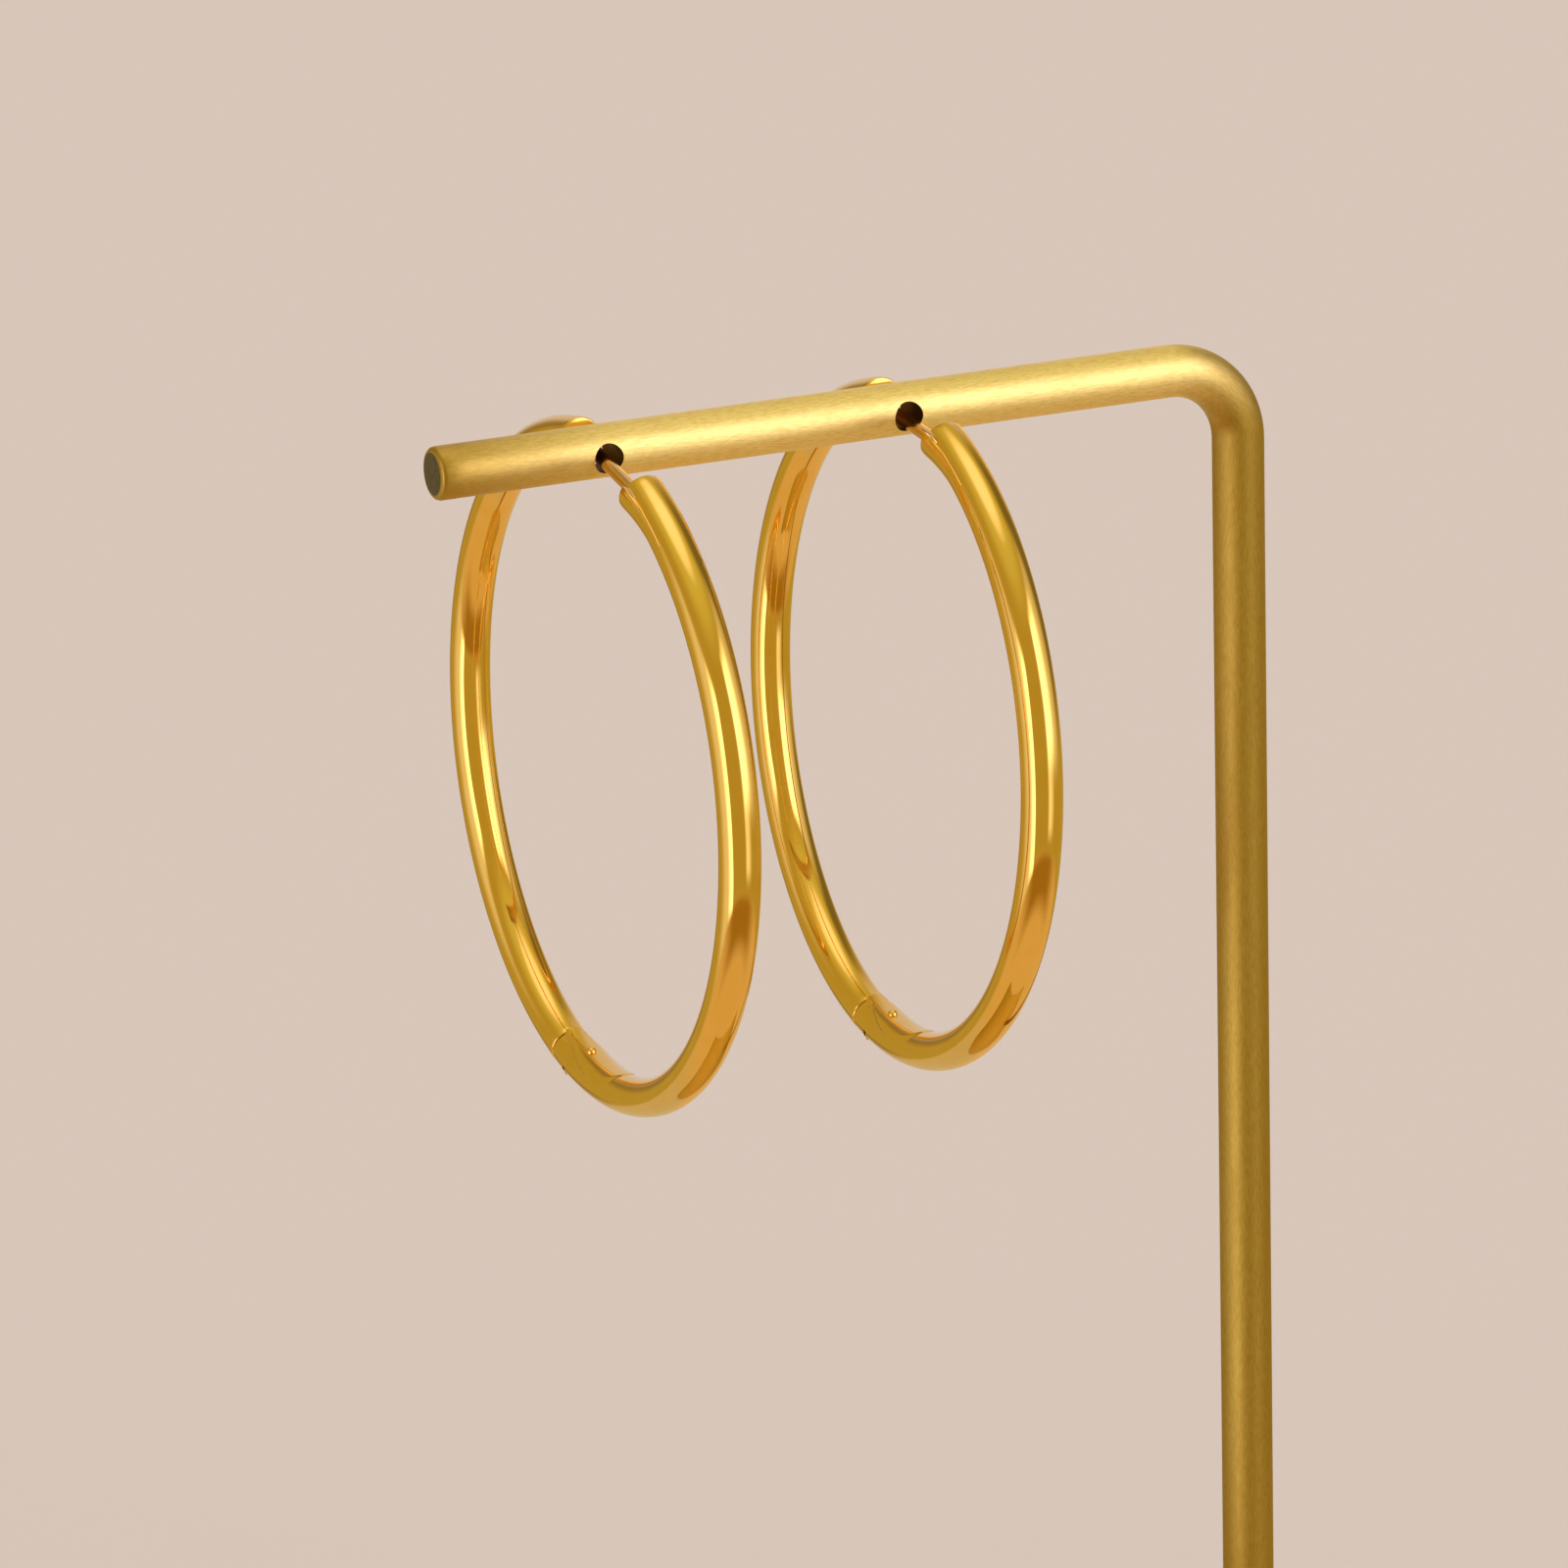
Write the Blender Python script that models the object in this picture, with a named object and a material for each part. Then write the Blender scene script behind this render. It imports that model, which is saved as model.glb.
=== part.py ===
"""Pair of hinged hoop earrings hanging from an L-shaped metal display stand.

The stand is one bent rod on a plain plate. Two holes are drilled across its arm, and the ear post of a
hoop passes through each of them. A hoop is two hollow tube halves. The back half carries the post and a
hinge tongue, and the front half swings on a cross pin near the bottom and closes over the post's tip.

Metres, +Z up. The origin is the centre of the plate's underside. The arm runs along X with its free end
at -X, and the hoops' front halves face -Y.
"""

import math

import bmesh
import bpy
from mathutils import Matrix, Vector

# The plate, and the socket that takes the rod.
BASE_LENGTH = 0.080
BASE_WIDTH = 0.056
BASE_THICKNESS = 0.0045
BASE_CORNER_RADIUS = 0.006
BASE_EDGE_BEVEL = 0.0006
SOCKET_FLOOR = 0.0012

# The rod: an upright, a bend of a little over a right angle, and the arm, which droops to its free end.
ROD_DIAMETER = 0.0038
ROD_INSET = 0.010
ARM_HEIGHT = 0.12063
ARM_LENGTH = 0.06293
ARM_DROOP = 0.63
BEND_RADIUS = 0.0056
ARM_END_CHAMFER = 0.0004
HOLE_DIAMETER = 0.0022
FIRST_HOLE_INSET = 0.012555
HOLE_SPACING = 0.02316
HOLE_DROP = 0.00022

# A hoop's tube. Angles run round the hoop from its foremost point, up over the top.
HOOP_DIAMETER = 0.050
TUBE_WIDTH = 0.0030
TUBE_DEPTH = 0.00285
TUBE_WALL = 0.00035
FRONT_END_ANGLE = 67.6
BACK_END_ANGLE = 94.0
JOINT_ANGLE = -107.0
END_CAP = 0.0006

# The ear post, and the catch that grips it.
POST_DIAMETER = 0.0010
POST_TIP_ANGLE = 62.5
POST_ROOT_SHARE = 0.26
POST_TIP_SHARE = 0.22
SLIT_WIDTH = 0.0003
SLIT_LENGTH = 0.0034
SLIT_TURN = 117.0

# The hinge. Its places are measured along the tube from the joint, and inwards from the tube's middle.
JOINT_GAP = 0.00035
PIN_DIAMETER = 0.0007
PIN_CLEARANCE = 0.00010
PIN_RECESS = 0.00018
PIN_REACH = 0.0020
PIN_DROP = 0.00055
TONGUE_THICKNESS = 0.0008
TONGUE_WEB = 0.00035
TONGUE_ROOT = 0.0018
TONGUE_SIDE_CLEARANCE = 0.00025
RIM_RISE = 0.0004
RIM_LENGTH = 0.0105
DOME_REACH = 0.0034
DOME_DIAMETER = 0.0007
DOME_RISE = 0.00022

# Clear space between neighbouring pieces of the stand.
SEAT_GAP = 0.0003

# Facets.
TUBE_SIDES = 14
TUBE_STEP = 6.0
ROD_SIDES = 20
BEND_STEPS = 10
SMALL_SIDES = 12
CORNER_SEGMENTS = 6

# How each hoop hangs: its hole, the post's height and sideways place in the hole, the space from the arm
# to the hoop's back end, and the turns in its own plane, sideways and about the upright. The last two say
# how far to the side of the tube's middle the post starts and ends, as its wire is a little bent.
HANGING = (
    # name, hole, post height, post shift, space, swing, lean, yaw, root side, tip side
    ("a", 0, 0.00013, -0.00022, 0.00035, 0.0, 0.0, 0.0, 0.00022, -0.00030),
    ("b", 1, -0.00035, 0.00015, 0.00200, 4.5, 1.35, -1.4, -0.00035, -0.00035),
)

# Worked out from the sizes above.
ROD_RADIUS = ROD_DIAMETER / 2
UPRIGHT_X = BASE_LENGTH / 2 - ROD_INSET
BEND_X = UPRIGHT_X - BEND_RADIUS
ARM_END_X = UPRIGHT_X - ARM_LENGTH
HOLES_X = (ARM_END_X + FIRST_HOLE_INSET, ARM_END_X + FIRST_HOLE_INSET + HOLE_SPACING)
HALF_WIDTH = TUBE_WIDTH / 2
HALF_DEPTH = TUBE_DEPTH / 2
HOOP_RADIUS = HOOP_DIAMETER / 2 - HALF_DEPTH
BORE_DEPTH = HALF_DEPTH - TUBE_WALL
BORE_WIDTH = HALF_WIDTH - TUBE_WALL
POST_RADIUS = POST_DIAMETER / 2
PIN_RADIUS = PIN_DIAMETER / 2
PIN_HOLE_RADIUS = PIN_RADIUS + PIN_CLEARANCE
EYE_RADIUS = PIN_HOLE_RADIUS + TONGUE_WEB
AXIS_X = Vector((1, 0, 0))


def clear_scene():
    for item in list(bpy.data.objects):
        bpy.data.objects.remove(item, do_unlink=True)


def metal(name, colour, roughness):
    finish = bpy.data.materials.new(name)
    finish.use_nodes = True
    shader = finish.node_tree.nodes["Principled BSDF"]
    shader.inputs["Base Color"].default_value = (*colour, 1)
    shader.inputs["Metallic"].default_value = 1
    shader.inputs["Roughness"].default_value = roughness
    return finish


def add_object(name, bm, finish, origin=Vector((0, 0, 0))):
    """Turns a bmesh into a closed, smooth-shaded object of the scene, with its origin at a point."""
    bmesh.ops.recalc_face_normals(bm, faces=bm.faces)
    bmesh.ops.translate(bm, verts=bm.verts, vec=-origin)
    mesh = bpy.data.meshes.new(name)
    bm.to_mesh(mesh)
    bm.free()
    mesh.shade_smooth()
    mesh.set_sharp_from_angle(angle=math.radians(35))
    item = bpy.data.objects.new(name, mesh)
    item.location = origin
    bpy.context.collection.objects.link(item)
    if finish is not None:
        mesh.materials.append(finish)
    return item


def add_tool(name, bm):
    """A shape that only cuts or joins another one, hidden from renders."""
    item = add_object(name, bm, None)
    item.hide_render = True
    item.display_type = "WIRE"
    return item


def combine(item, tool, operation):
    step = item.modifiers.new(tool.name, "BOOLEAN")
    step.operation = operation
    step.object = tool
    step.solver = "EXACT"


def frame_matrix(origin, x_axis, y_axis, z_axis):
    """The matrix that carries local X, Y and Z onto three directions at a point."""
    turn = Matrix((x_axis, y_axis, z_axis)).transposed().to_4x4()
    return Matrix.Translation(origin) @ turn


def cylinder_between(start, end, radius, sides):
    bm = bmesh.new()
    along = end - start
    turn = along.to_track_quat("Z", "Y").to_matrix().to_4x4()
    place = Matrix.Translation((start + end) / 2) @ turn
    bmesh.ops.create_cone(bm, cap_ends=True, segments=sides, radius1=radius, radius2=radius,
                          depth=along.length, matrix=place)
    return bm


def box_between(low, high, place):
    """A box given by two corners in the local axes of a matrix."""
    bm = bmesh.new()
    low, high = Vector(low), Vector(high)
    size = Matrix.Diagonal((*(high - low), 1))
    bmesh.ops.create_cube(bm, size=1, matrix=place @ Matrix.Translation((low + high) / 2) @ size)
    return bm


def new_edges(result):
    return [part for part in result["geom"] if isinstance(part, bmesh.types.BMEdge)]


def new_verts(result):
    return [part for part in result["geom"] if isinstance(part, bmesh.types.BMVert)]


def stretch_loop(bm, edges, offset, scale=1.0, centre=None):
    """Extrudes a loop of edges by an offset, and may shrink the new loop about a centre."""
    result = bmesh.ops.extrude_edge_only(bm, edges=edges)
    verts = new_verts(result)
    bmesh.ops.translate(bm, verts=verts, vec=offset)
    if centre is not None:
        bmesh.ops.scale(bm, verts=verts, vec=(scale,) * 3, space=Matrix.Translation(-centre))
    return new_edges(result)


def fill_ends(bm):
    open_edges = [edge for edge in bm.edges if edge.is_boundary]
    bmesh.ops.holes_fill(bm, edges=open_edges, sides=0)


def build_base(finish):
    """The plate, with rounded corners, a bevelled top edge and a blind socket for the rod."""
    half_length, half_width = BASE_LENGTH / 2, BASE_WIDTH / 2
    low = (-half_length, -half_width, 0)
    high = (half_length, half_width, BASE_THICKNESS)
    bm = box_between(low, high, Matrix.Identity(4))
    upright = [edge for edge in bm.edges if abs(edge.verts[0].co.z - edge.verts[1].co.z) > BASE_THICKNESS / 2]
    bmesh.ops.bevel(bm, geom=upright, offset=BASE_CORNER_RADIUS, segments=CORNER_SEGMENTS, profile=0.5,
                    affect="EDGES", material=-1)
    top = [edge for edge in bm.edges if all(vert.co.z > BASE_THICKNESS * 0.99 for vert in edge.verts)]
    bmesh.ops.bevel(bm, geom=top, offset=BASE_EDGE_BEVEL, segments=2, profile=0.5, affect="EDGES", material=-1)
    base = add_object("stand_base", bm, finish)

    floor = Vector((UPRIGHT_X, 0, SOCKET_FLOOR))
    mouth = Vector((UPRIGHT_X, 0, BASE_THICKNESS * 2))
    socket = add_tool("base_socket", cylinder_between(floor, mouth, ROD_RADIUS + SEAT_GAP, ROD_SIDES))
    combine(base, socket, "DIFFERENCE")


def on_arm(x, drop=0.0):
    """A point of the arm's middle line at a place along X, or one that lies a distance below it."""
    droop = math.radians(ARM_DROOP)
    rise = (BEND_RADIUS - (BEND_X - x) * math.sin(droop)) / math.cos(droop)
    return Vector((x, 0, ARM_HEIGHT - BEND_RADIUS + rise - drop))


def build_rod(finish):
    """The rod, swept from its foot up the upright, round the bend and along the arm."""
    foot_z = SOCKET_FLOOR + SEAT_GAP
    bend_z = ARM_HEIGHT - BEND_RADIUS
    bm = bmesh.new()
    place = Matrix.Translation((UPRIGHT_X, 0, foot_z))
    circle = bmesh.ops.create_circle(bm, segments=ROD_SIDES, radius=ROD_RADIUS, matrix=place)
    edges = list({edge for vert in circle["verts"] for edge in vert.link_edges})
    edges = stretch_loop(bm, edges, (0, 0, bend_z - foot_z))
    droop = math.radians(ARM_DROOP)
    turned = bmesh.ops.spin(bm, geom=edges, cent=(BEND_X, 0, bend_z), axis=(0, -1, 0), angle=math.pi / 2 + droop,
                            steps=BEND_STEPS, use_duplicate=False)
    edges = [part for part in turned["geom_last"] if isinstance(part, bmesh.types.BMEdge)]
    arm_start = on_arm(BEND_X - BEND_RADIUS * math.sin(droop))
    end_centre = on_arm(ARM_END_X)
    chamfer = (end_centre - arm_start).normalized() * ARM_END_CHAMFER
    edges = stretch_loop(bm, edges, end_centre - arm_start - chamfer)
    end_scale = (ROD_RADIUS - ARM_END_CHAMFER) / ROD_RADIUS
    stretch_loop(bm, edges, chamfer, end_scale, end_centre)
    fill_ends(bm)
    rod = add_object("stand_rod", bm, finish)

    for number, hole_x in enumerate(HOLES_X):
        across = Vector((0, ROD_DIAMETER, 0))
        front, back = (on_arm(hole_x, HOLE_DROP) + side for side in (-across, across))
        drill = add_tool("arm_drill_%d" % number, cylinder_between(front, back, HOLE_DIAMETER / 2, ROD_SIDES))
        combine(rod, drill, "DIFFERENCE")


def on_hoop(angle, radius, sideways=0.0):
    """A point of a hoop at an angle in degrees: 0 is foremost, 90 is the top."""
    turn = math.radians(angle)
    return Vector((sideways, -radius * math.cos(turn), radius * math.sin(turn)))


def tube_frame(angle):
    """Local X along the tube (towards larger angles), Y inwards, Z across, on the tube's middle line."""
    inwards = -on_hoop(angle, 1)
    return frame_matrix(on_hoop(angle, HOOP_RADIUS), AXIS_X.cross(inwards), inwards, -AXIS_X)


def degrees_of(length):
    return math.degrees(length / HOOP_RADIUS)


def rim_rise(vert):
    """Raises the inner side of the tube towards the joint, fading out over the rim's length."""
    angle = math.degrees(math.atan2(vert.co.z, -vert.co.y))
    along = math.radians(angle - JOINT_ANGLE) * HOOP_RADIUS
    fade = min(1.0, max(0.0, 1 - along / RIM_LENGTH))
    radius = math.hypot(vert.co.y, vert.co.z)
    inward_share = max(0.0, (HOOP_RADIUS - radius) / HALF_DEPTH)
    vert.co -= vert.co * Vector((0, 1, 1)) * (RIM_RISE * fade * inward_share / radius)


def swept_oval(half_width, half_depth, spans):
    """A closed solid swept round the hoop. Each span gives the angles it joins and its number of steps."""
    bm = bmesh.new()
    first_angle = spans[0][0]
    upright = Matrix(((0, 0, 1, 0), (1, 0, 0, 0), (0, 1, 0, 0), (0, 0, 0, 1)))
    place = tube_frame(first_angle) @ upright @ Matrix.Diagonal((half_depth, half_width, 1, 1))
    bmesh.ops.create_circle(bm, segments=TUBE_SIDES, radius=1, matrix=place)
    edges = list(bm.edges)
    for start, end, steps in spans:
        turned = bmesh.ops.spin(bm, geom=edges, cent=(0, 0, 0), axis=(-1, 0, 0), angle=math.radians(end - start),
                                steps=steps, use_duplicate=False)
        edges = [part for part in turned["geom_last"] if isinstance(part, bmesh.types.BMEdge)]
    fill_ends(bm)
    return bm


def steps_between(start, end):
    return max(1, round((end - start) / TUBE_STEP))


def post_line(root_side, tip_side):
    """The straight ear post's root, on the back half's end cap, and its tip, inside the front half."""
    root = on_hoop(BACK_END_ANGLE, HOOP_RADIUS - POST_ROOT_SHARE * BORE_DEPTH, root_side)
    tip = on_hoop(POST_TIP_ANGLE, HOOP_RADIUS + POST_TIP_SHARE * BORE_DEPTH, tip_side)
    return root, tip


def hoop_placement(post, hole, height, shift, space, swing, lean, yaw):
    """Where a hoop hangs: its post passes through a hole and its back end stays clear of the arm."""
    turn = (Matrix.Rotation(math.radians(yaw), 4, "Z") @ Matrix.Rotation(math.radians(lean), 4, "Y")
            @ Matrix.Rotation(math.radians(-swing), 4, "X"))
    root, tip = (turn @ point for point in post)
    back_end = turn @ on_hoop(BACK_END_ANGLE, HOOP_RADIUS)
    centre_y = ROD_RADIUS + space - back_end.y
    share = (centre_y + root.y) / (root.y - tip.y)
    at_arm = root.lerp(tip, share)
    mouth = on_arm(HOLES_X[hole], HOLE_DROP)
    centre = Vector((mouth.x + shift - at_arm.x, centre_y, mouth.z + height - at_arm.z))
    return Matrix.Translation(centre) @ turn


def placed(bm, place):
    bmesh.ops.transform(bm, matrix=place, verts=bm.verts)
    return bm


def build_back_half(hoop, place, post, finish):
    """The tube behind the arm, with its end cap, ear post and hinge tongue in one soldered piece."""
    joint_end = JOINT_ANGLE + 360
    spans = [(BACK_END_ANGLE, joint_end, steps_between(BACK_END_ANGLE, joint_end))]
    back = add_object("hoop_%s_back_half" % hoop, placed(swept_oval(HALF_WIDTH, HALF_DEPTH, spans), place), finish)
    bore_start = BACK_END_ANGLE + degrees_of(END_CAP)
    bore_end = joint_end + degrees_of(TUBE_WALL)
    spans = [(bore_start, bore_end, steps_between(bore_start, bore_end))]
    bore = add_tool("back_bore_%s" % hoop, placed(swept_oval(BORE_WIDTH, BORE_DEPTH, spans), place))
    combine(back, bore, "DIFFERENCE")

    root, tip = post
    buried = root + (root - tip).normalized() * END_CAP / 2
    wire = cylinder_between(buried, tip, POST_RADIUS, SMALL_SIDES)
    combine(back, add_tool("post_%s" % hoop, placed(wire, place)), "UNION")

    joint = tube_frame(JOINT_ANGLE)
    half = TONGUE_THICKNESS / 2
    embed = BORE_DEPTH + TUBE_WALL / 3
    root_plate = box_between((-TONGUE_ROOT, -embed, -half), (-JOINT_GAP, embed, half), joint)
    combine(back, add_tool("tongue_root_%s" % hoop, placed(root_plate, place)), "UNION")
    neck_low = -PIN_DROP - EYE_RADIUS * 0.9
    neck_high = -PIN_DROP + EYE_RADIUS * 0.9
    neck = box_between((-TONGUE_ROOT / 2, neck_low, -half * 0.98), (PIN_REACH, neck_high, half * 0.98), joint)
    combine(back, add_tool("tongue_neck_%s" % hoop, placed(neck, place)), "UNION")
    eye = cylinder_between(hinge_point(-half), hinge_point(half), EYE_RADIUS, SMALL_SIDES * 2)
    combine(back, add_tool("tongue_eye_%s" % hoop, placed(eye, place)), "UNION")
    combine(back, pin_drill("eye_drill_%s" % hoop, place), "DIFFERENCE")


def hinge_point(sideways=0.0):
    """A point of the hinge's axis, at a distance to one side of the hoop's middle plane."""
    return tube_frame(JOINT_ANGLE) @ Vector((PIN_REACH, -PIN_DROP, sideways))


def pin_drill(name, place):
    """A drill along the hinge's axis, wide enough for the pin to turn in."""
    drill = cylinder_between(hinge_point(-TUBE_WIDTH), hinge_point(TUBE_WIDTH), PIN_HOLE_RADIUS, SMALL_SIDES)
    return add_tool(name, placed(drill, place))


def build_front_half(hoop, place, finish):
    """The tube in front of the arm, slit at the catch and slotted at the hinge."""
    start = JOINT_ANGLE + degrees_of(JOINT_GAP)
    rim_end = JOINT_ANGLE + degrees_of(RIM_LENGTH)
    rim_steps, steps = steps_between(start, rim_end), steps_between(rim_end, FRONT_END_ANGLE)
    outside = swept_oval(HALF_WIDTH, HALF_DEPTH, [(start, rim_end, rim_steps), (rim_end, FRONT_END_ANGLE, steps)])
    past_end = FRONT_END_ANGLE + degrees_of(TUBE_WALL)
    inside = swept_oval(BORE_WIDTH, BORE_DEPTH, [(JOINT_ANGLE, rim_end, rim_steps), (rim_end, past_end, steps)])
    for vert in [*outside.verts, *inside.verts]:
        rim_rise(vert)
    front = add_object("hoop_%s_front_half" % hoop, placed(outside, place), finish, place @ hinge_point())
    combine(front, add_tool("front_bore_%s" % hoop, placed(inside, place)), "DIFFERENCE")

    joint = tube_frame(JOINT_ANGLE)
    slot_half = TONGUE_THICKNESS / 2 + TONGUE_SIDE_CLEARANCE
    slot_end = PIN_REACH + EYE_RADIUS + TONGUE_SIDE_CLEARANCE
    slot = box_between((-TUBE_DEPTH, -TUBE_DEPTH, -slot_half), (slot_end, -PIN_DROP, slot_half), joint)
    combine(front, add_tool("tongue_slot_%s" % hoop, placed(slot, place)), "DIFFERENCE")
    combine(front, pin_drill("cheek_drill_%s" % hoop, place), "DIFFERENCE")

    catch = tube_frame(FRONT_END_ANGLE) @ Matrix.Rotation(math.radians(SLIT_TURN), 4, "X")
    half = SLIT_WIDTH / 2
    slit = box_between((-SLIT_LENGTH, BORE_DEPTH / 2, -half), (SLIT_LENGTH, TUBE_DEPTH, half), catch)
    combine(front, add_tool("catch_slit_%s" % hoop, placed(slit, place)), "DIFFERENCE")

    dome_angle = JOINT_ANGLE + degrees_of(DOME_REACH)
    rise_here = RIM_RISE * (1 - DOME_REACH / RIM_LENGTH)
    dome_place = Matrix.Translation(on_hoop(dome_angle, HOOP_RADIUS - HALF_DEPTH - rise_here))
    dome_size = Matrix.Diagonal((DOME_DIAMETER / 2, DOME_DIAMETER / 2, DOME_RISE, 1))
    dome = bmesh.new()
    upright = tube_frame(dome_angle).to_3x3() @ Matrix(((1, 0, 0), (0, 0, 1), (0, -1, 0)))
    bmesh.ops.create_uvsphere(dome, u_segments=SMALL_SIDES, v_segments=6, radius=1,
                              matrix=dome_place @ upright.to_4x4() @ dome_size)
    combine(front, add_tool("rivet_dome_%s" % hoop, placed(dome, place)), "UNION")


def build_hinge_pin(hoop, place, finish):
    """The cross pin, just below flush in both cheeks of the front half."""
    cheek = HALF_WIDTH * math.sqrt(1 - (PIN_DROP / HALF_DEPTH) ** 2) - PIN_RECESS
    pin = cylinder_between(hinge_point(-cheek), hinge_point(cheek), PIN_RADIUS, SMALL_SIDES)
    add_object("hoop_%s_hinge_pin" % hoop, placed(pin, place), finish, place @ hinge_point())


clear_scene()
satin_brass = metal("satin_brass", (0.62, 0.40, 0.10), 0.34)
gold_plate = metal("gold_plate", (0.80, 0.50, 0.10), 0.12)
pin_brass = metal("pin_brass", (0.72, 0.44, 0.12), 0.2)

build_base(satin_brass)
build_rod(satin_brass)
for hoop_name, *hang, root_side, tip_side in HANGING:
    ear_post = post_line(root_side, tip_side)
    hoop_place = hoop_placement(ear_post, *hang)
    build_back_half(hoop_name, hoop_place, ear_post, gold_plate)
    build_front_half(hoop_name, hoop_place, gold_plate)
    build_hinge_pin(hoop_name, hoop_place, pin_brass)
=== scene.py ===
"""The finished look of a pair of hinged hoop earrings on their display stand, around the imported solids."""

import math

import bmesh
import bpy
from mathutils import Matrix, Vector


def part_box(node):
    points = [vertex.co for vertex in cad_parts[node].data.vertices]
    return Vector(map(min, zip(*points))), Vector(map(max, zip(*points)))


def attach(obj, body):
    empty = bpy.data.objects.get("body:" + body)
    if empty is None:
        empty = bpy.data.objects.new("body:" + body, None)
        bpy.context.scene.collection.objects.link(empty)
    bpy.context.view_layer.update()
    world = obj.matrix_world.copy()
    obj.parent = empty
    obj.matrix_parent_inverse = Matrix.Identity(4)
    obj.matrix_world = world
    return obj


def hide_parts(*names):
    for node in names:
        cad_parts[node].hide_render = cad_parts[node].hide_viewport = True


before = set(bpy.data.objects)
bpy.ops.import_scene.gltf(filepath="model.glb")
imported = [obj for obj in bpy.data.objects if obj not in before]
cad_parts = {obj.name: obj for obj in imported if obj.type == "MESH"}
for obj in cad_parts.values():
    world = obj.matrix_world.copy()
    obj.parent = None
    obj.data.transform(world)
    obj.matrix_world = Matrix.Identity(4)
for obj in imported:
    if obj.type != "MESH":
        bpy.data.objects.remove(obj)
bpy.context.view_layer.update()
MM = 0.001


# The camera. The photograph looks down on the arm from the front left with a long lens, 0.58 m away,
# and the picture leans over a little.
AIM = Vector((-6.79, 0, 94.14)) * MM
DISTANCE = 579.6 * MM
HEADING, DROP, ROLL = (math.radians(angle) for angle in (24.57, 15.53, -1.42))
SENSOR_WIDTH, FOCAL_LENGTH = 36, 186.8
NEAREST = 10 * MM

look = Vector((math.sin(HEADING) * math.cos(DROP), math.cos(HEADING) * math.cos(DROP), -math.sin(DROP)))
level = Vector((math.cos(HEADING), -math.sin(HEADING), 0))
rise = level.cross(look)
right = level * math.cos(ROLL) + rise * math.sin(ROLL)
above = rise * math.cos(ROLL) - level * math.sin(ROLL)
lens = bpy.data.cameras.new("long_lens")
lens.sensor_width = SENSOR_WIDTH
lens.lens = FOCAL_LENGTH
lens.clip_start = NEAREST
camera = bpy.data.objects.new("long_lens", lens)
camera.matrix_world = (Matrix.Translation(AIM - DISTANCE * look)
                       @ Matrix((right, above, -look)).transposed().to_4x4())
bpy.context.collection.objects.link(camera)
bpy.context.scene.camera = camera
bpy.context.scene.view_settings.view_transform = "Standard"


# The studio: a plain pale floor, matt painted, in soft light. A bright cloth panel stands to each side of
# the camera, which looks out of the dim gap between them, and more light comes from above and behind.
FLOOR_SIZE = 12000 * MM
FLOOR_COLOUR = "#DFD4CB"
FLOOR_ROUGHNESS = 0.9


def linear(code):
    """The linear colour of an sRGB hex value."""
    parts = [int(code[at:at + 2], 16) / 255 for at in (1, 3, 5)]
    return [part / 12.92 if part <= 0.04045 else ((part + 0.055) / 1.055) ** 2.4 for part in parts] + [1]


def add_node(tree, kind, settings=(), links=()):
    """Adds a node. Settings name its properties or inputs, and links feed its inputs from other nodes."""
    node = tree.nodes.new(kind)
    for name, value in dict(settings).items():
        if hasattr(node, str(name)):
            setattr(node, name, value)
        else:
            node.inputs[name].default_value = value
    for name, source in dict(links).items():
        tree.links.new(source, node.inputs[name])
    return node


def new_material(name):
    material = bpy.data.materials.new(name)
    material.use_nodes = True
    return material, material.node_tree, material.node_tree.nodes["Principled BSDF"]


floor_paint, _, shader = new_material("matt_painted_floor")
shader.inputs["Base Color"].default_value = linear(FLOOR_COLOUR)
shader.inputs["Roughness"].default_value = FLOOR_ROUGHNESS
bm = bmesh.new()
bmesh.ops.create_grid(bm, x_segments=1, y_segments=1, size=FLOOR_SIZE / 2)
floor_mesh = bpy.data.meshes.new("floor")
bm.to_mesh(floor_mesh)
bm.free()
floor_mesh.materials.append(floor_paint)
floor = bpy.data.objects.new("floor", floor_mesh)
floor.visible_glossy = False
bpy.context.collection.objects.link(floor)

# What stands round the object, each laid over those before it. Turns go from the camera to its right and
# heights up from the horizon, in degrees. Each limit is followed by the width of its soft edge.
ROOM_COLOUR = "#B9A653"
ALL = (-400, 1, 400, 1)
SURROUNDINGS = (
    # turns, heights, colour, strength
    (ALL, (52, 30, 400, 1), "#D5CE78", 1.0),
    (ALL, (76, 20, 400, 1), "#F6F2C4", 1.0),
    (ALL, (-400, 1, -30, 7), "#DCBD88", 1.0),
    ((-50, 60, 80, 60), (-47, 12, -30, 5), "#AC8331", 0.9),
    ((-400, 1, -110, 30), (-400, 1, -30, 8), "#CDBF9A", 1.0),
    ((112, 24, 150, 24), (-6, 12, 48, 24), "#857A48", 0.85),
    ((158, 20, 400, 1), (-30, 8, 42, 20), "#D8CDC5", 1.0),
    ((-168, 14, -141, 12), (-30, 8, 48, 24), "#96834F", 1.0),
    ((-400, 1, -157, 20), (-30, 8, 42, 20), "#D8CDC5", 1.0),
    ((-92, 44, -32, 5), (-30, 5, 22, 14), "#F4ECDC", 0.95),
    ((-50, 26, -32, 5), (-30, 5, 22, 10), "#FFFBF2", 2.6),
    ((38, 12, 104, 44), (-6, 14, 40, 14), "#EFE9DC", 0.95),
    ((38, 12, 60, 26), (-24, 8, 6, 16), "#FFF8E4", 1.15),
    ((42, 10, 74, 34), (0, 16, 40, 12), "#FFF8EC", 2.7),
)
# turn, height, half width, soft edge, colour, strength
BACK_LIGHT = (180, 84, 4, 24, "#FFF0DC", 1.35)

world = bpy.data.worlds.new("cloth_panels")
world.use_nodes = True
bpy.context.scene.world = world
tree = world.node_tree
tree.nodes.clear()
coordinates = add_node(tree, "ShaderNodeTexCoord")


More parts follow.
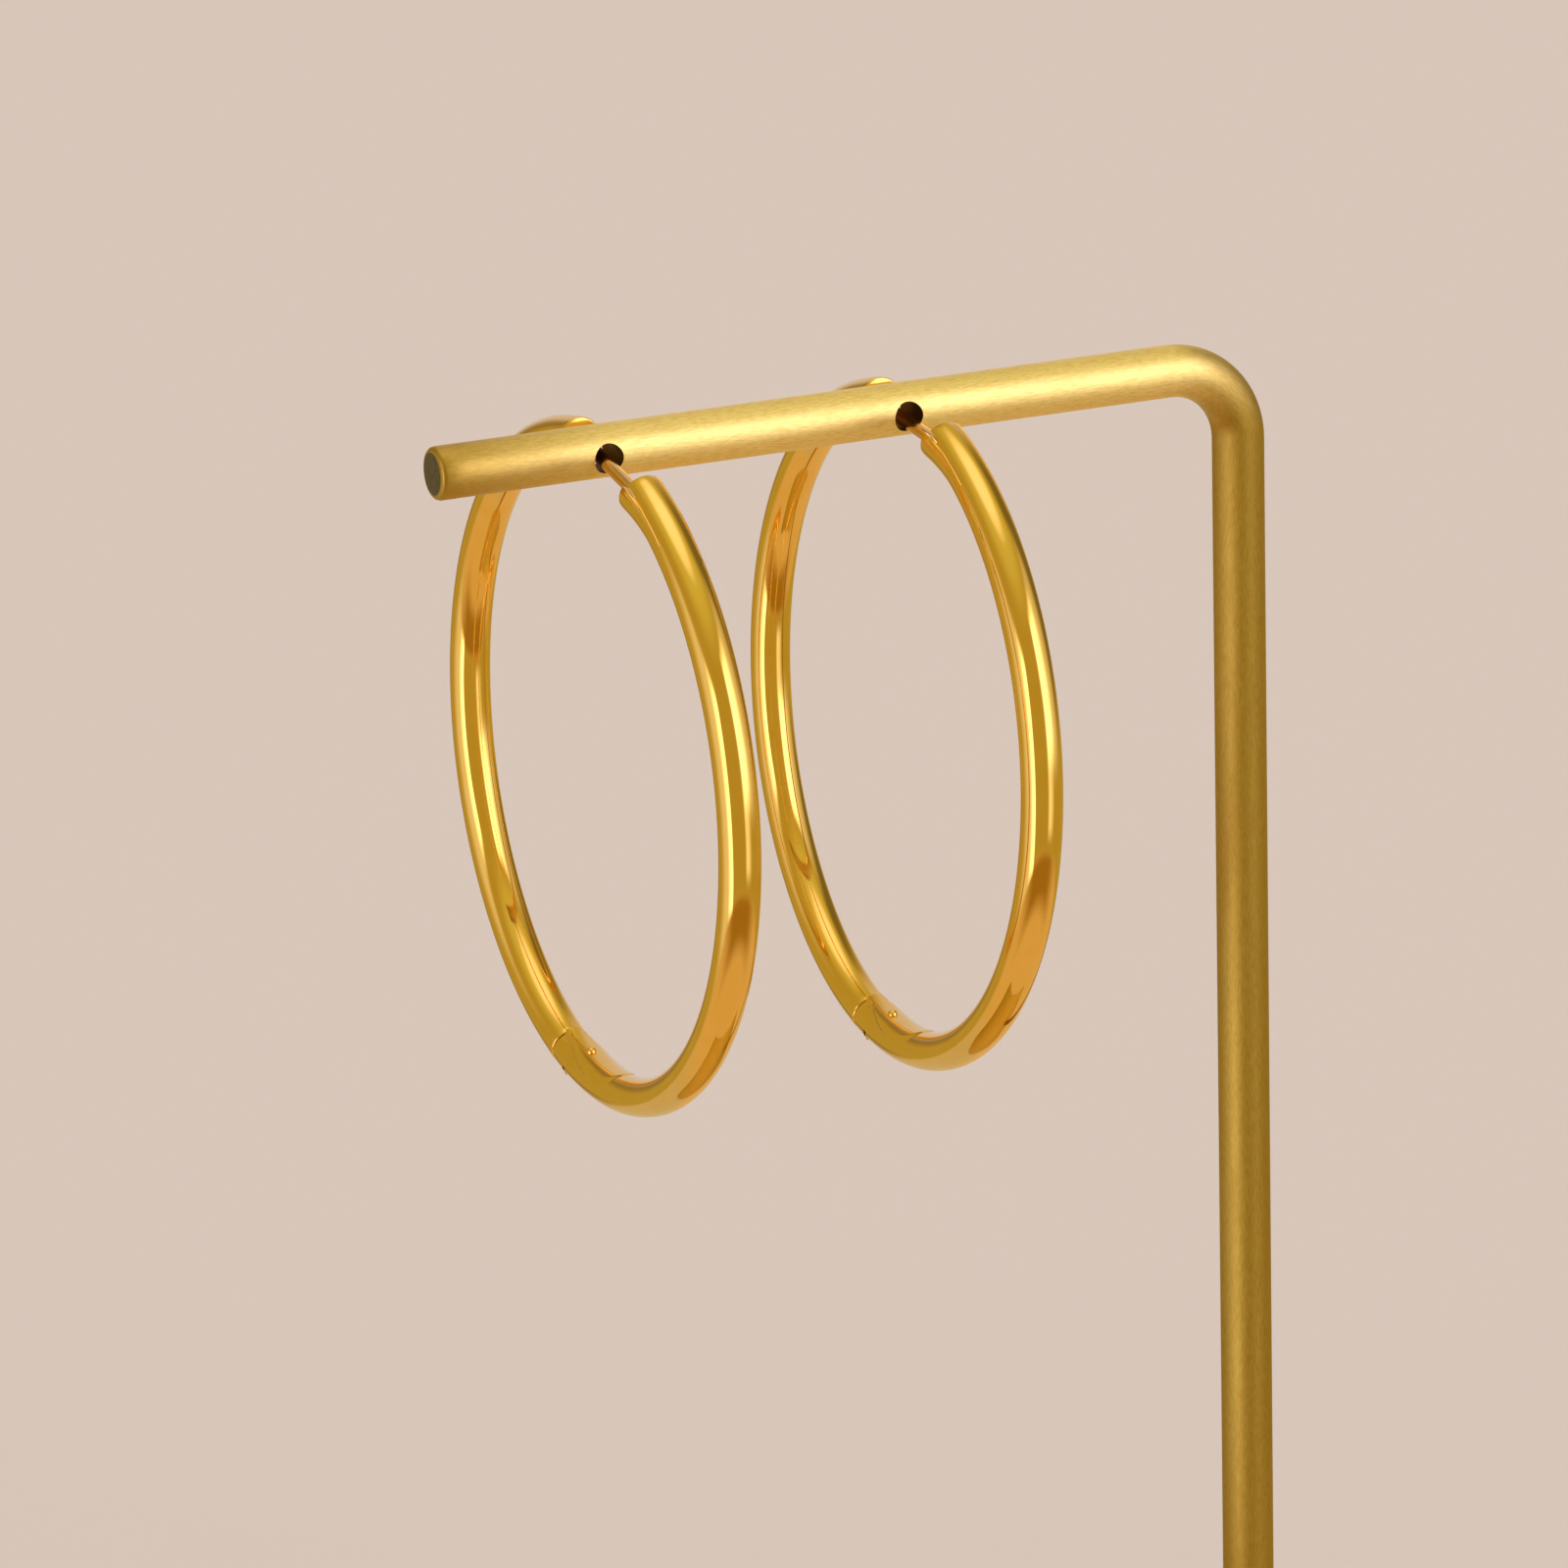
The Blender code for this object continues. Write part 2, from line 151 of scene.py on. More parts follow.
def towards(turn, height):
    """The direction at a turn from the camera to its right, and a height above the horizon."""
    turn, height = math.radians(turn), math.radians(height)
    flat = Vector((-look.x, -look.y, 0)).normalized() * math.cos(turn) + level * math.sin(turn)
    return flat * math.cos(height) + Vector((0, 0, math.sin(height)))


def share_of(direction):
    """How far the sky's direction points along another direction."""
    return add_node(tree, "ShaderNodeVectorMath", {"operation": "DOT_PRODUCT", 1: direction},
                    {0: coordinates.outputs["Generated"]}).outputs["Value"]


def in_degrees(operation, *sources):
    angle = add_node(tree, "ShaderNodeMath", {"operation": operation}, dict(enumerate(sources)))
    return add_node(tree, "ShaderNodeMath", {"operation": "DEGREES"}, {0: angle.outputs[0]}).outputs[0]


def ramp(value, start, stop):
    return add_node(tree, "ShaderNodeMapRange", {"interpolation_type": "SMOOTHSTEP", "From Min": start,
                                                 "From Max": stop}, {"Value": value}).outputs["Result"]


def product(first, second):
    return add_node(tree, "ShaderNodeMath", {"operation": "MULTIPLY"}, {0: first, 1: second}).outputs[0]


def between(value, low, low_edge, high, high_edge):
    """One between two limits and zero outside them."""
    return product(ramp(value, low - low_edge / 2, low + low_edge / 2),
                   ramp(value, high + high_edge / 2, high - high_edge / 2))


def lay_over(sky, mask, colour, strength):
    shade = [part * strength for part in linear(colour)[:3]] + [1]
    return add_node(tree, "ShaderNodeMix", {"data_type": "RGBA", 7: shade}, {"Factor": mask, 6: sky}).outputs[2]


turn_here = in_degrees("ARCTAN2", share_of(towards(90, 0)), share_of(towards(0, 0)))
height_here = in_degrees("ARCSINE", share_of(Vector((0, 0, 1))))
sky = add_node(tree, "ShaderNodeRGB").outputs[0]
sky.default_value = linear(ROOM_COLOUR)
for turns, heights, colour, strength in SURROUNDINGS:
    sky = lay_over(sky, product(between(turn_here, *turns), between(height_here, *heights)), colour, strength)
turn, height, half_width, edge, colour, strength = BACK_LIGHT
limits = [math.cos(math.radians(angle)) for angle in (half_width + edge, half_width)]
sky = lay_over(sky, ramp(share_of(towards(turn, height)), *limits), colour, strength)
background = add_node(tree, "ShaderNodeBackground", {"Strength": 1.0}, {"Color": sky})
add_node(tree, "ShaderNodeOutputWorld", {}, {"Surface": background.outputs["Background"]})

# A cool, very wide lamp overhead evens out the warm light on the floor. Polished metal doesn't mirror it.
LAMP_STRENGTH, LAMP_WIDTH, LAMP_TILT = 1.42, math.radians(120), math.radians(12)
LAMP_COLOUR = (0.43, 0.47, 1.0)
light = bpy.data.lights.new("overhead_lamp", "SUN")
light.energy = LAMP_STRENGTH
light.angle = LAMP_WIDTH
light.color = LAMP_COLOUR
lamp = bpy.data.objects.new("overhead_lamp", light)
lamp.rotation_euler = (0, LAMP_TILT, 0)
lamp.visible_glossy = False
bpy.context.collection.objects.link(lamp)


# The base: a plain brass plate with rounded corners, cut from flat bar and satin brushed along its length,
# with a blind socket for the rod. It stands on the floor by its own weight.
PLATE_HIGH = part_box("stand_base")[1]
PLATE_CORNER, CORNER_STEPS = 6 * MM, 20
PLATE_EDGE, EDGE_STEPS = 0.6 * MM, 5
SOCKET_RADIUS, SOCKET_FLOOR = 2.2 * MM, 1.2 * MM
ROD_X = 30 * MM
SHARP_ANGLE = math.radians(32)
# Light and dark brass follow the scratches. The third colour is painted shade on the rod's upright and the arm's free
# end, and dulls the whole plate a little.
BRASS_LIGHT, BRASS_DARK, BRASS_DULL_AND_SHADE_TINT = "#FFE8A8", "#EAC97A", "#C6B585"
BRASS_ROUGHNESS = (0.38, 0.43)
BRUSH_STRETCH = 0.75
SCRATCH_DEPTH, BRIGHT_DEPTH, DULL_DEPTH = 0.02 * MM, 0.24, 0.4
CLOUDS_PER_METRE = 260
# Scratches per metre, along the brushing and across it.
PLATE_SCRATCHES = (300, 9000)
PLATE_DULLNESS = 0.6


def finished(name, bm, body=None, slot=None, *nodes):
    """Makes a smooth piece at the origin. With a body it rides on that, and it may stand for CAD nodes."""
    bmesh.ops.recalc_face_normals(bm, faces=bm.faces)
    mesh = bpy.data.meshes.new(name)
    bm.to_mesh(mesh)
    bm.free()
    mesh.shade_smooth()
    mesh.set_sharp_from_angle(angle=SHARP_ANGLE)
    piece = bpy.data.objects.new(name, mesh)
    bpy.context.collection.objects.link(piece)
    if body:
        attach(piece, body)
        if nodes:
            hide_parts(*nodes)
    return piece


def carve(piece, tools, operation="DIFFERENCE"):
    """Cuts pieces of mesh out of a piece, or joins them to it, and keeps only the result."""
    for tool in tools:
        cutter = finished("cutter", tool)
        step = piece.modifiers.new("carve", "BOOLEAN")
        step.operation = operation
        step.object = cutter
        step.solver = "EXACT"
        bpy.context.view_layer.update()
        graph = bpy.context.evaluated_depsgraph_get()
        result = bpy.data.meshes.new_from_object(piece.evaluated_get(graph))
        piece.modifiers.clear()
        piece.data = result
        bpy.data.objects.remove(cutter, do_unlink=True)
    result.shade_smooth()
    result.set_sharp_from_angle(angle=SHARP_ANGLE)


def coat(piece, *finishes):
    piece.data.materials.clear()
    for finish in finishes:
        piece.data.materials.append(finish)


def bar(start, end, radius, sides=48):
    """A straight round bar between two points."""
    bm = bmesh.new()
    along = end - start
    place = Matrix.Translation((start + end) / 2) @ along.to_track_quat("Z", "Y").to_matrix().to_4x4()
    bmesh.ops.create_cone(bm, cap_ends=True, segments=sides, radius1=radius, radius2=radius, depth=along.length,
                          matrix=place)
    return bm


def brushed(name, light, dark, dull_and_shade_tint, roughness):
    """Satin metal. The attribute named along gives the way of the scratches, and a second attribute deepens them and
    darkens the colour: a little all over the plate, and as painted shade on the rod.

    Noise stays mostly between 0.3 and 0.7, so that span is stretched to the full range.
    """
    material, tree, shader = new_material(name)
    grain, along, dull_and_shade = (add_node(tree, "ShaderNodeAttribute", {"attribute_name": attribute})
                          for attribute in ("grain", "along", "dull_and_shade"))
    scratches = add_node(tree, "ShaderNodeTexNoise", {"Scale": 1.0, "Detail": 4.0, "Roughness": 0.6},
                         {"Vector": grain.outputs["Vector"]}).outputs["Fac"]
    position = add_node(tree, "ShaderNodeTexCoord")
    clouds = add_node(tree, "ShaderNodeTexNoise", {"Scale": CLOUDS_PER_METRE, "Detail": 3.0},
                      {"Vector": position.outputs["Object"]}).outputs["Fac"]
    lightness = add_node(tree, "ShaderNodeMapRange", {"From Min": 0.3, "From Max": 0.62}, {"Value": scratches})
    tone = add_node(tree, "ShaderNodeMix", {"data_type": "RGBA", 6: linear(dark), 7: linear(light)},
                    {"Factor": lightness.outputs["Result"]})
    tone = add_node(tree, "ShaderNodeMix", {"data_type": "RGBA", "blend_type": "MULTIPLY", 7: linear(dull_and_shade_tint)},
                    {"Factor": dull_and_shade.outputs["Fac"], 6: tone.outputs[2]})
    rough = add_node(tree, "ShaderNodeMapRange", {"From Min": 0.3, "From Max": 0.7, "To Min": roughness[0],
                                                  "To Max": roughness[1]}, {"Value": clouds})
    depth = add_node(tree, "ShaderNodeMapRange", {"To Min": BRIGHT_DEPTH, "To Max": DULL_DEPTH},
                     {"Value": dull_and_shade.outputs["Fac"]})
    bump = add_node(tree, "ShaderNodeBump", {"Distance": SCRATCH_DEPTH},
                    {"Height": scratches, "Strength": depth.outputs["Result"]})
    tree.links.new(tone.outputs[2], shader.inputs["Base Color"])
    tree.links.new(rough.outputs["Result"], shader.inputs["Roughness"])
    tree.links.new(bump.outputs["Normal"], shader.inputs["Normal"])
    tree.links.new(along.outputs["Vector"], shader.inputs["Tangent"])
    shader.inputs["Anisotropic"].default_value = BRUSH_STRETCH
    shader.inputs["Anisotropic Rotation"].default_value = 0.25
    shader.inputs["Metallic"].default_value = 1
    return material


def lay_grain(mesh, brushing):
    """Stores at each vertex its place along and across the scratches, the way they run, and how far it is dulled and
    darkened, which on the rod is painted shade.
    """
    for name, kind in (("grain", "FLOAT_VECTOR"), ("along", "FLOAT_VECTOR"), ("dull_and_shade", "FLOAT")):
        mesh.attributes.new(name, kind, "POINT")
    grain, along, dull_and_shade = (mesh.attributes[name].data for name in ("grain", "along", "dull_and_shade"))
    for vert in mesh.vertices:
        at = vert.index
        grain[at].vector, along[at].vector, dull_and_shade[at].value = brushing(vert.co.copy())


# Brass brushed with fine grit: the scratches stretch each highlight across their own way and blur what the
# metal mirrors. The plate is a little duller and browner all over, and painted shade darkens the rod's upright
# and the arm's free end towards the same browner tint. Real scratches are much finer than the render can
# show, so they are drawn several times as coarse.
satin_brass = brushed("satin_brushed_brass", BRASS_LIGHT, BRASS_DARK, BRASS_DULL_AND_SHADE_TINT, BRASS_ROUGHNESS)

plate = bmesh.new()
centre = Matrix.Translation((0, 0, PLATE_HIGH.z / 2))
bmesh.ops.create_cube(plate, size=1, matrix=centre @ Matrix.Diagonal((*(PLATE_HIGH * 2).xy, PLATE_HIGH.z, 1)))
corners = [edge for edge in plate.edges if abs(edge.verts[0].co.z - edge.verts[1].co.z) > 2 * MM]
bmesh.ops.bevel(plate, geom=corners, offset=PLATE_CORNER, segments=CORNER_STEPS, profile=0.5, affect="EDGES",
                material=-1)
rims = [edge for edge in plate.edges if all(vert.co.z > PLATE_HIGH.z * 0.99 for vert in edge.verts)]
bmesh.ops.bevel(plate, geom=rims, offset=PLATE_EDGE, segments=EDGE_STEPS, profile=0.5, affect="EDGES", material=-1)
plate = finished("plate", plate, "stand", "stand_brass", "stand_base")
carve(plate, [bar(Vector((ROD_X, 0, SOCKET_FLOOR)), Vector((ROD_X, 0, 2 * PLATE_HIGH.z)), SOCKET_RADIUS)])
run, side = PLATE_SCRATCHES
lay_grain(plate.data, lambda co: ((co.x * run, co.y * side, co.z * side), (1, 0, 0), PLATE_DULLNESS))
coat(plate, satin_brass)


# The rod: drawn brass bar, bent once, sawn off and chamfered at its free end, with two holes drilled across
# the arm for the ear posts. The arm droops a little, and the rod is brushed along its length.
ROD_RADIUS = 1.9 * MM
ROD_FOOT = 1.5 * MM
ARM_Z = 120.63 * MM
ARM_DROOP = math.radians(0.63)
ARM_END_X = -32.93 * MM
BEND_RADIUS = 5.6 * MM
CHAMFER = 0.4 * MM
HOLES_X = (-20.375 * MM, 2.785 * MM)
HOLE_RADIUS = 1.1 * MM
HOLE_DROP = 0.22 * MM
DRILL_REACH = 5 * MM
ROD_SIDES, UPRIGHT_STEPS, BEND_STEPS, ARM_STEPS, CHAMFER_STEPS = 96, 60, 48, 40, 3
ROD_SCRATCHES = (1500, 13000)
# Over this length before its free end the arm is darkened with painted shade.
END_SHADE_LENGTH = 14 * MM
SAWN, DRILLED = 1, 2


def edges_of(result, key="geom"):
    return [part for part in result[key] if isinstance(part, bmesh.types.BMEdge)]


def stretch(bm, edges, offset, scale=1.0, centre=None):
    """Extrudes a loop of edges by an offset, and may shrink the new loop about a centre."""
    result = bmesh.ops.extrude_edge_only(bm, edges=edges)
    verts = [part for part in result["geom"] if isinstance(part, bmesh.types.BMVert)]
    bmesh.ops.translate(bm, verts=verts, vec=offset)
    if centre is not None:
        bmesh.ops.scale(bm, verts=verts, vec=(scale,) * 3, space=Matrix.Translation(-centre))
    return edges_of(result)


bend_x, bend_z = ROD_X - BEND_RADIUS, ARM_Z - BEND_RADIUS


def on_arm(x, drop=0.0):
    """A point of the arm's middle line, or one that lies a distance below it."""
    rise = (BEND_RADIUS - (bend_x - x) * math.sin(ARM_DROOP)) / math.cos(ARM_DROOP)
    return Vector((x, 0, bend_z + rise - drop))


rod = bmesh.new()
bmesh.ops.create_circle(rod, segments=ROD_SIDES, radius=ROD_RADIUS, matrix=Matrix.Translation((ROD_X, 0, ROD_FOOT)))
loop = list(rod.edges)
for _ in range(UPRIGHT_STEPS):
    loop = stretch(rod, loop, (0, 0, (bend_z - ROD_FOOT) / UPRIGHT_STEPS))
turned = bmesh.ops.spin(rod, geom=loop, cent=(bend_x, 0, bend_z), axis=(0, -1, 0), angle=math.pi / 2 + ARM_DROOP,
                        steps=BEND_STEPS, use_duplicate=False)
loop = edges_of(turned, "geom_last")
arm_end = on_arm(ARM_END_X)
arm = arm_end - on_arm(bend_x - BEND_RADIUS * math.sin(ARM_DROOP))
outwards = arm.normalized()
for _ in range(ARM_STEPS):
    loop = stretch(rod, loop, (arm - outwards * CHAMFER) / ARM_STEPS)
for number in range(CHAMFER_STEPS):
    start, stop = (math.radians(90 / CHAMFER_STEPS * step) for step in (number, number + 1))
    narrowing = [ROD_RADIUS - CHAMFER * (1 - math.cos(angle)) for angle in (start, stop)]
    reach = CHAMFER * (math.sin(stop) - math.sin(start))
    here = arm_end - outwards * CHAMFER * (1 - math.sin(stop))
    loop = stretch(rod, loop, outwards * reach, narrowing[1] / narrowing[0], here)
bmesh.ops.holes_fill(rod, edges=[edge for edge in rod.edges if edge.is_boundary], sides=0)
rod = finished("rod", rod, "stand", "stand_brass", "stand_rod")
across = Vector((0, DRILL_REACH, 0))
mouths = [on_arm(hole_x, HOLE_DROP) for hole_x in HOLES_X]
carve(rod, [bar(mouth - across, mouth + across, HOLE_RADIUS, sides=64) for mouth in mouths])


def along_rod(co):
    """The place along the rod and in its section, counted in scratches, the rod's direction, and its painted shade:
    full on the upright, fading round the bend, and rising towards the arm's free end.
    """
    if co.z < bend_z:
        run, side, turn = co.z, co.x - ROD_X, 0
    elif co.x > bend_x:
        turn = math.atan2(co.z - bend_z, co.x - bend_x)
        run, side = bend_z + BEND_RADIUS * turn, math.hypot(co.x - bend_x, co.z - bend_z) - BEND_RADIUS
    else:
        turn = math.pi / 2 + ARM_DROOP
        run, side = bend_z + BEND_RADIUS * turn + bend_x - co.x, co.z - on_arm(co.x).z
    # Painted shade: full on the upright and fading round the bend, and rising over the arm's last part towards its
    # free end.
    end_shade = min(1, max(0, 1 - (co.x - ARM_END_X) / END_SHADE_LENGTH))
    lengthwise, crosswise = ROD_SCRATCHES
    return ((run * lengthwise, side * crosswise, co.y * crosswise), (-math.sin(turn), 0, math.cos(turn)),
            max(math.cos(turn), end_shade))


def mottled(name, colours, metallic, roughness, patch):
    """Bare metal whose colour and roughness wander between two values, over patches of a size."""
    material, tree, shader = new_material(name)
    position = add_node(tree, "ShaderNodeTexCoord")
    patches = add_node(tree, "ShaderNodeTexNoise", {"Scale": 1 / patch, "Detail": 3.0},
                       {"Vector": position.outputs["Object"]}).outputs["Fac"]
    tone = add_node(tree, "ShaderNodeMix", {"data_type": "RGBA", 6: linear(colours[0]), 7: linear(colours[1])},
                    {"Factor": patches})
    rough = add_node(tree, "ShaderNodeMapRange", {"To Min": roughness[0], "To Max": roughness[1]}, {"Value": patches})
    tree.links.new(tone.outputs[2], shader.inputs["Base Color"])
    tree.links.new(rough.outputs["Result"], shader.inputs["Roughness"])
    shader.inputs["Metallic"].default_value = metallic
    return material


# Bare sawn brass, dull and grey with tarnish, and the brown, half dull skin of brass where a drill went.
sawn_brass = mottled("sawn_tarnished_brass", ("#4E473E", "#887C6C"), 0.8, (0.45, 0.65), 0.4 * MM)
drilled_brass = mottled("drilled_tarnished_brass", ("#4E3510", "#866024"), 1, (0.4, 0.6), 0.4 * MM)

lay_grain(rod.data, along_rod)
coat(rod, satin_brass, sawn_brass, drilled_brass)
for face in rod.data.polygons:
    from_bore = min(((face.center - mouth) * Vector((1, 0, 1))).length for mouth in mouths)
    if (face.center - arm_end).dot(outwards) > -0.01 * MM:
        face.material_index = SAWN
    elif from_bore < HOLE_RADIUS * 1.001 and abs(face.normal.y) < 0.1:
        face.material_index = DRILLED


# The hoops: thin brass tube bent round, with soldered parts, gold plated and polished. Each hangs in the arm
# by its ear post, a back half behind the arm and a front half before it, on a cross pin low at the back.
# Angles run round a hoop in degrees, from its foremost point up over the top.
TUBE_HALF_WIDTH = 1.5 * MM
TUBE_HALF_DEPTH = 1.425 * MM
TUBE_WALL = 0.35 * MM
HOOP_RADIUS = 23.575 * MM
FRONT_END, BACK_END, JOINT = 67.6, 94.0, -107.0
JOINT_GAP = 0.12 * MM
CAP_LENGTH = 0.6 * MM
BACK_ROUNDING, FRONT_ROUNDING, ROUNDING_STEPS = 0.12 * MM, 0.1 * MM, 4
TUBE_SIDES, BORE_SIDES, GROOVE_SIDES = 72, 48, 16
STEP, FINE_STEP = 1.5, 0.4
RIM_RISE, RIM_FADE = 0.4 * MM, 0.8
RIM_END, RIM_WIDEST = -82.0, -92.0
RIM_START_REACH, RIM_REACH, RIM_SHOULDER = 28, 72, 11
DOME_ANGLE, DOME_SIDE, DOME_RISE = -97.0, 8, 0.26 * MM
DOME_HALVES = (0.36 * MM, 0.34 * MM, 0.36 * MM)
# Corners in mm, in the frame of the tube at the hinge or at the catch.
TONGUE = ((-1.6, -1.24, -0.4), (2.0, 0.2, 0.4))
SLOT = ((-3, -3, -0.65), (3.1, -0.55, 0.65))
SLIT = ((-1.4, 0.6, -0.13), (3, 3, 0.13))
SLIT_TURN = 118.4
PIN_ALONG, PIN_INWARDS = 2.0 * MM, -0.55 * MM
KNUCKLE_HALF, KNUCKLE_RADIUS, KNUCKLE_SIDES = 0.4 * MM, 0.85 * MM, 40
PIN_HOLE_HALF, PIN_HOLE_RADIUS, PIN_HOLE_SIDES = 2 * MM, 0.45 * MM, 32
SEAM_RADIUS, SEAM_LENGTH, SEAM_OUT = 0.1 * MM, 6 * MM, 1.03
LIP_SPREAD, LIP_LENGTH, LIP_CURVE, LIP_FADE = 0.36 * MM, 4.5 * MM, 1.5, 60
POST_RADIUS, POST_TIP_ANGLE = 0.5 * MM, 62.5
POST_ROOT_RADIUS, POST_TIP_RADIUS = HOOP_RADIUS - 0.2795 * MM, HOOP_RADIUS + 0.2365 * MM
HOOPS = (
    # name, centre in mm, swing, lean, yaw, post's root and tip to the side in mm
    ("a", (-20.723, 0.605, 97.186), 0.0, 0.0, 0.0, 0.22, -0.30),
    ("b", (2.761, 0.430, 97.119), 4.5, 1.35, -1.4, -0.35, -0.35),
)


def on_hoop(angle, radius, sideways=0.0):
    """A point of a hoop at an angle in degrees: 0 is foremost, 90 is the top."""
    turn = math.radians(angle)
    return Vector((sideways, -radius * math.cos(turn), radius * math.sin(turn)))


def tube_frame(angle):
    """Local X along the tube, Y towards the hoop's middle, Z to the -X side, on the tube's middle line."""
    inwards = -on_hoop(angle, 1)
    axes = Matrix((Vector((1, 0, 0)).cross(inwards), inwards, Vector((-1, 0, 0))))
    return Matrix.Translation(on_hoop(angle, HOOP_RADIUS)) @ axes.transposed().to_4x4()


def degrees_of(length):
    return math.degrees(length / HOOP_RADIUS)


def swept(half_width, half_depth, start, end, rounded=0.0, sides=TUBE_SIDES, fine_to=None, aside=(0, 0)):
    """An oval bar swept round the hoop, on the tube's middle line or aside of it. Up to fine_to its steps are fine."""
    bm = bmesh.new()
    upright = Matrix(((0, 0, 1, 0), (1, 0, 0, 0), (0, 1, 0, 0), (0, 0, 0, 1)))
    oval = upright @ Matrix.Diagonal((half_depth, half_width, 1, 1))
    bmesh.ops.create_circle(bm, segments=sides, radius=1,
                            matrix=tube_frame(start) @ Matrix.Translation((0, *aside)) @ oval)
    edges = list(bm.edges)
    runs = ((start, fine_to, FINE_STEP), (fine_to, end, STEP)) if fine_to else ((start, end, STEP),)
    for low, high, step in runs:
        turned = bmesh.ops.spin(bm, geom=edges, cent=(0, 0, 0), axis=(-1, 0, 0), angle=math.radians(high - low),
                                steps=max(1, round((high - low) / step)), use_duplicate=False)
        edges = edges_of(turned, "geom_last")
    bmesh.ops.holes_fill(bm, edges=[edge for edge in bm.edges if edge.is_boundary], sides=0)
    if rounded:
        ends = [face for face in bm.faces if len(face.verts) > 4]
        rims = list({edge for face in ends for edge in face.edges})
        bmesh.ops.bevel(bm, geom=rims, offset=rounded, segments=ROUNDING_STEPS, profile=0.5, affect="EDGES",
                        material=-1)
    return bm


def place_of(centre, swing, lean, yaw):
    return (Matrix.Translation(Vector(centre) * MM) @ Matrix.Rotation(math.radians(yaw), 4, "Z")
            @ Matrix.Rotation(math.radians(lean), 4, "Y") @ Matrix.Rotation(math.radians(-swing), 4, "X"))


def placed(bm, place):
    bmesh.ops.transform(bm, matrix=place, verts=bm.verts)
    return bm


def on_hinge(half_length, radius, sides):
    """A round bar along the hinge's axis, across the hoop."""
    start, end = (tube_frame(JOINT) @ Vector((PIN_ALONG, PIN_INWARDS, side)) for side in (-half_length, half_length))
    return bar(start, end, radius, sides)


def box_in(place, low, high):
    """A box between two corners in millimetres, in a local frame."""
    bm = bmesh.new()
    low, high = Vector(low) * MM, Vector(high) * MM
    bmesh.ops.create_cube(bm, size=1, matrix=place @ Matrix.Translation((low + high) / 2)
                          @ Matrix.Diagonal((*(high - low), 1)))
    return bm


def eased(share):
    share = min(1, max(0, share))
    return share * share * (3 - 2 * share)


def rim_reach(angle):
    """How far round the tube's section the raised rim reaches, in degrees from its inner side."""
    if angle < RIM_WIDEST:
        return RIM_START_REACH + (RIM_REACH - RIM_START_REACH) * eased((angle - JOINT) / (RIM_WIDEST - JOINT))
    return RIM_REACH * math.sqrt(max(0, 1 - ((angle - RIM_WIDEST) / (RIM_END - RIM_WIDEST)) ** 2))


def form_front(vert):
    """Raises the rim on the inner side at the hinge, and spreads the lip beside the slit at the catch."""
    angle = math.degrees(math.atan2(vert.co.z, -vert.co.y))
    radius = math.hypot(vert.co.y, vert.co.z)
    section = math.degrees(math.atan2(-vert.co.x, HOOP_RADIUS - radius))
    out = (Vector((vert.co.x, 0, 0)) + vert.co * Vector((0, 1, 1)) * (1 - HOOP_RADIUS / radius)).normalized()
    along = (angle - JOINT) / (RIM_END - JOINT)
    if along < 1:
        rise = RIM_RISE * (1 - RIM_FADE * along) * (0.5 + 0.5 * math.cos(math.radians(section)))
        vert.co += out * (rise * eased((rim_reach(angle) - abs(section)) / RIM_SHOULDER))
    lip = min(1, max(0, 1 - math.radians(FRONT_END - angle) * HOOP_RADIUS / LIP_LENGTH)) ** LIP_CURVE
    side = min(1, max(0, (section + LIP_FADE) / LIP_FADE)) if section < SLIT_TURN else 0
    vert.co += out * (LIP_SPREAD * lip * side)


# Gold plate polished like a mirror: long sharp reflections, with a colour that wanders a little, as thin
# plating does.
gold = mottled("polished_gold_plate", ("#F6C662", "#FCD27E"), 1, (0.04, 0.08), 2 * MM)
# The same plate on drawn wire that was never polished: paler and rosier, and its highlight is blurred.
post_gold = mottled("drawn_gold_wire", ("#EFBA7C", "#F9D2A4"), 1, (0.1, 0.22), 0.5 * MM)

